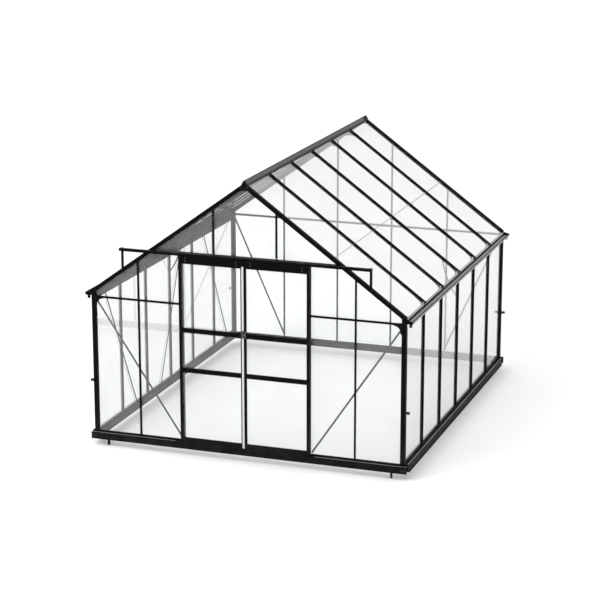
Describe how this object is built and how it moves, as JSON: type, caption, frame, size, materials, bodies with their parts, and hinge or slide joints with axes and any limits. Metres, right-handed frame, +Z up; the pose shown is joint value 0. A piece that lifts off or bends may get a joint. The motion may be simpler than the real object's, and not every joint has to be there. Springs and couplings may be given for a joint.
{
  "type": "greenhouse",
  "caption": "Walk-in gable greenhouse: black metal frame on a low base, single glass panes, gutters, ridge capping, roof vents and double sliding doors in the front gable.",
  "frame": {"origin": "middle of the footprint at the lower ends of the ground pegs", "axes": "+X to the right of a person facing the doors, +Y from the doors to the rear gable, along the ridge, +Z up"},
  "size_m": [3.248, 3.819, 2.71],
  "materials": {
    "coated_frame": "satin near-black powder coat over extruded aluminium",
    "glass": "clear flat horticultural glass",
    "nylon": "pale nylon wheel",
    "latch_plastic": "black moulded case",
    "latch_metal": "dull grey"
  },
  "bodies": {
    "house": {"door_guide": "coated_frame", "door_track": "coated_frame", "front_base_rail": "coated_frame", "front_header": "coated_frame", "front_left_bar": "coated_frame", "front_left_girt": "coated_frame", "front_left_glass": "glass", "front_left_post": "coated_frame", "front_left_rafter": "coated_frame", "front_right_bar": "coated_frame", "front_right_girt": "coated_frame", "front_right_glass": "glass", "front_right_post": "coated_frame", "front_right_rafter": "coated_frame", "front_top_glass": "glass", "left_base_rail": "coated_frame", "left_door_post": "coated_frame", "left_gutter": "coated_frame", "left_roof_glass": "glass", "left_wall_glass": "glass", "portal_frame_1": "coated_frame", "portal_frame_2": "coated_frame", "portal_frame_3": "coated_frame", "portal_frame_4": "coated_frame", "portal_frame_5": "coated_frame", "rear_bar_1": "coated_frame", "rear_bar_2": "coated_frame", "rear_bar_3": "coated_frame", "rear_bar_4": "coated_frame", "rear_base_rail": "coated_frame", "rear_eaves_tie": "coated_frame", "rear_gable_glass": "glass", "rear_left_post": "coated_frame", "rear_left_rafter": "coated_frame", "rear_right_post": "coated_frame", "rear_right_rafter": "coated_frame", "ridge_capping": "coated_frame", "right_base_rail": "coated_frame", "right_door_post": "coated_frame", "right_gutter": "coated_frame", "right_roof_glass": "glass", "right_wall_glass": "glass", "vent_front_slam_bar": "coated_frame", "vent_rear_slam_bar": "coated_frame"},
    "left_door": {"left_door_frame": "coated_frame", "left_door_glass": "glass"},
    "right_door": {"right_door_frame": "coated_frame", "right_door_glass": "glass", "latch_case": "latch_plastic"},
    "latch_lever": {"latch_lever": "latch_metal"},
    "left_roller_1": {"left_door_roller_1": "nylon"},
    "left_roller_2": {"left_door_roller_2": "nylon"},
    "right_roller_1": {"right_door_roller_1": "nylon"},
    "right_roller_2": {"right_door_roller_2": "nylon"},
    "front_vent": {"vent_front_frame": "coated_frame", "vent_front_glass": "glass"},
    "front_vent_stay": {"vent_front_stay": "coated_frame"},
    "rear_vent": {"vent_rear_frame": "coated_frame", "vent_rear_glass": "glass"},
    "rear_vent_stay": {"vent_rear_stay": "coated_frame"}
  },
  "joints": [
    {"name": "left_door_slide", "type": "slide", "parent": "house", "child": "left_door", "axis": [-1, 0, 0], "range_m": [0, 0.58]},
    {"name": "right_door_slide", "type": "slide", "parent": "house", "child": "right_door", "axis": [1, 0, 0], "range_m": [0, 0.58]},
    {"name": "left_roller_1_turn", "type": "hinge", "parent": "left_door", "child": "left_roller_1", "pos_m": [-0.577, -1.8891, 1.9802], "axis": [0, 1, 0], "range_deg": [-3700, 0]},
    {"name": "left_roller_2_turn", "type": "hinge", "parent": "left_door", "child": "left_roller_2", "pos_m": [-0.071, -1.8891, 1.9802], "axis": [0, 1, 0], "range_deg": [-3700, 0]},
    {"name": "right_roller_1_turn", "type": "hinge", "parent": "right_door", "child": "right_roller_1", "pos_m": [0.071, -1.8891, 1.9802], "axis": [0, 1, 0], "range_deg": [0, 3700]},
    {"name": "right_roller_2_turn", "type": "hinge", "parent": "right_door", "child": "right_roller_2", "pos_m": [0.577, -1.8891, 1.9802], "axis": [0, 1, 0], "range_deg": [0, 3700]},
    {"name": "latch_turn", "type": "hinge", "parent": "right_door", "child": "latch_lever", "pos_m": [0.004, -1.9035, 1.261], "axis": [0, 1, 0], "range_deg": [0, 90]},
    {"name": "front_vent_hinge", "type": "hinge", "parent": "house", "child": "front_vent", "pos_m": [-0.029, -0.9115, 2.66893], "axis": [0, 1, 0], "range_deg": [0, 45]},
    {"name": "front_stay_pivot", "type": "hinge", "parent": "front_vent", "child": "front_vent_stay", "pos_m": [-0.4878, -0.9115, 2.30345], "axis": [0, 1, 0], "range_deg": [0, 67.5]},
    {"name": "rear_vent_hinge", "type": "hinge", "parent": "house", "child": "rear_vent", "pos_m": [-0.029, 0.9485, 2.66893], "axis": [0, 1, 0], "range_deg": [0, 45]},
    {"name": "rear_stay_pivot", "type": "hinge", "parent": "rear_vent", "child": "rear_vent_stay", "pos_m": [-0.4878, 0.9485, 2.30345], "axis": [0, 1, 0], "range_deg": [0, 67.5]}
  ],
  "couplings": [
    {"joint": "left_roller_1_turn", "follows": "left_door_slide", "rad_per_m": -111.11},
    {"joint": "left_roller_2_turn", "follows": "left_door_slide", "rad_per_m": -111.11},
    {"joint": "right_roller_1_turn", "follows": "right_door_slide", "rad_per_m": 111.11},
    {"joint": "right_roller_2_turn", "follows": "right_door_slide", "rad_per_m": 111.11},
    {"joint": "front_stay_pivot", "follows": "front_vent_hinge", "ratio": 1.5},
    {"joint": "rear_stay_pivot", "follows": "rear_vent_hinge", "ratio": 1.5}
  ]
}
